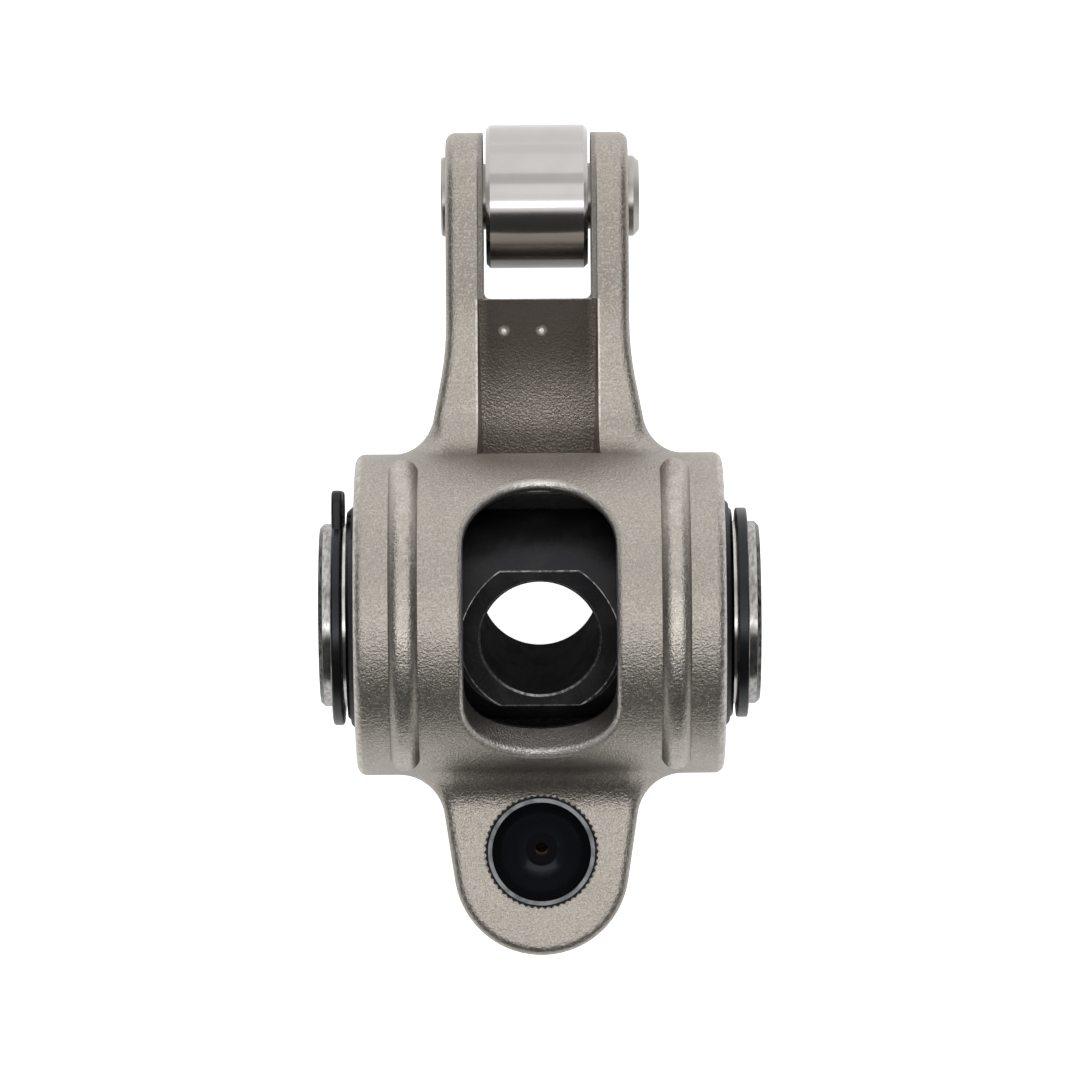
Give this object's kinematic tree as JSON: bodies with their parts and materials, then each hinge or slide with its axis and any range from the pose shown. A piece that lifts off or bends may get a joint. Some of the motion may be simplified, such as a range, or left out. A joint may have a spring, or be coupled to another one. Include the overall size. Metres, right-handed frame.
{
  "type": "rocker arm",
  "caption": "Stud-mounted rocker arm with a roller tip, a needle-bearing trunnion and a pressed-in pushrod cup, lying on its back.",
  "frame": {"origin": "centre of the trunnion, where the axis of its stud bore crosses the trunnion's own axis", "axes": "+X along the trunnion, +Y towards the roller, +Z out of the underside, which is the side with the pushrod cup; the arm lies on its back, so the underside looks up"},
  "size_m": [0.0418, 0.0798, 0.0314],
  "materials": {
    "cast_steel": "investment-cast alloy steel, matt warm grey, as blasted",
    "black_oxide": "hardened steel, black oxide, ground bright on its ends",
    "ground_steel": "hardened steel, fine ground",
    "axle_steel": "hardened steel, turned",
    "cup_steel": "hardened steel, glossy black",
    "cage_steel": "pressed sheet steel",
    "black_washer": "hardened steel, black",
    "black_ring": "spring steel, phosphated black",
    "bearing_steel": "bearing steel, polished"
  },
  "bodies": {
    "rocker": {"rocker_body": "cast_steel", "roller_axle": "axle_steel", "pushrod_cup": "cup_steel"},
    "trunnion": {"trunnion": "black_oxide", "left_thrust_washer": "black_washer", "left_retaining_ring": "black_ring", "right_thrust_washer": "black_washer", "right_retaining_ring": "black_ring"},
    "left_bearing": {"left_needle_cage": "cage_steel", "left_needle_01": "bearing_steel", "left_needle_02": "bearing_steel", "left_needle_03": "bearing_steel", "left_needle_04": "bearing_steel", "left_needle_05": "bearing_steel", "left_needle_06": "bearing_steel", "left_needle_07": "bearing_steel", "left_needle_08": "bearing_steel", "left_needle_09": "bearing_steel", "left_needle_10": "bearing_steel", "left_needle_11": "bearing_steel", "left_needle_12": "bearing_steel", "left_needle_13": "bearing_steel", "left_needle_14": "bearing_steel", "left_needle_15": "bearing_steel", "left_needle_16": "bearing_steel", "left_needle_17": "bearing_steel", "left_needle_18": "bearing_steel", "left_needle_19": "bearing_steel", "left_needle_20": "bearing_steel"},
    "right_bearing": {"right_needle_cage": "cage_steel", "right_needle_01": "bearing_steel", "right_needle_02": "bearing_steel", "right_needle_03": "bearing_steel", "right_needle_04": "bearing_steel", "right_needle_05": "bearing_steel", "right_needle_06": "bearing_steel", "right_needle_07": "bearing_steel", "right_needle_08": "bearing_steel", "right_needle_09": "bearing_steel", "right_needle_10": "bearing_steel", "right_needle_11": "bearing_steel", "right_needle_12": "bearing_steel", "right_needle_13": "bearing_steel", "right_needle_14": "bearing_steel", "right_needle_15": "bearing_steel", "right_needle_16": "bearing_steel", "right_needle_17": "bearing_steel", "right_needle_18": "bearing_steel", "right_needle_19": "bearing_steel", "right_needle_20": "bearing_steel"},
    "roller": {"roller": "ground_steel"}
  },
  "joints": [
    {"name": "trunnion_turn", "type": "hinge", "parent": "rocker", "child": "trunnion", "pos_m": [0, 0, 0], "axis": [1, 0, 0], "continuous": true},
    {"name": "left_cage_turn", "type": "hinge", "parent": "rocker", "child": "left_bearing", "pos_m": [0, 0, 0], "axis": [1, 0, 0], "continuous": true},
    {"name": "right_cage_turn", "type": "hinge", "parent": "rocker", "child": "right_bearing", "pos_m": [0, 0, 0], "axis": [1, 0, 0], "continuous": true},
    {"name": "roller_spin", "type": "hinge", "parent": "rocker", "child": "roller", "pos_m": [0, 0.0403, -0.00821], "axis": [1, 0, 0], "continuous": true}
  ],
  "couplings": [
    {"joint": "left_cage_turn", "follows": "trunnion_turn", "ratio": 0.4575},
    {"joint": "right_cage_turn", "follows": "trunnion_turn", "ratio": 0.4575}
  ]
}
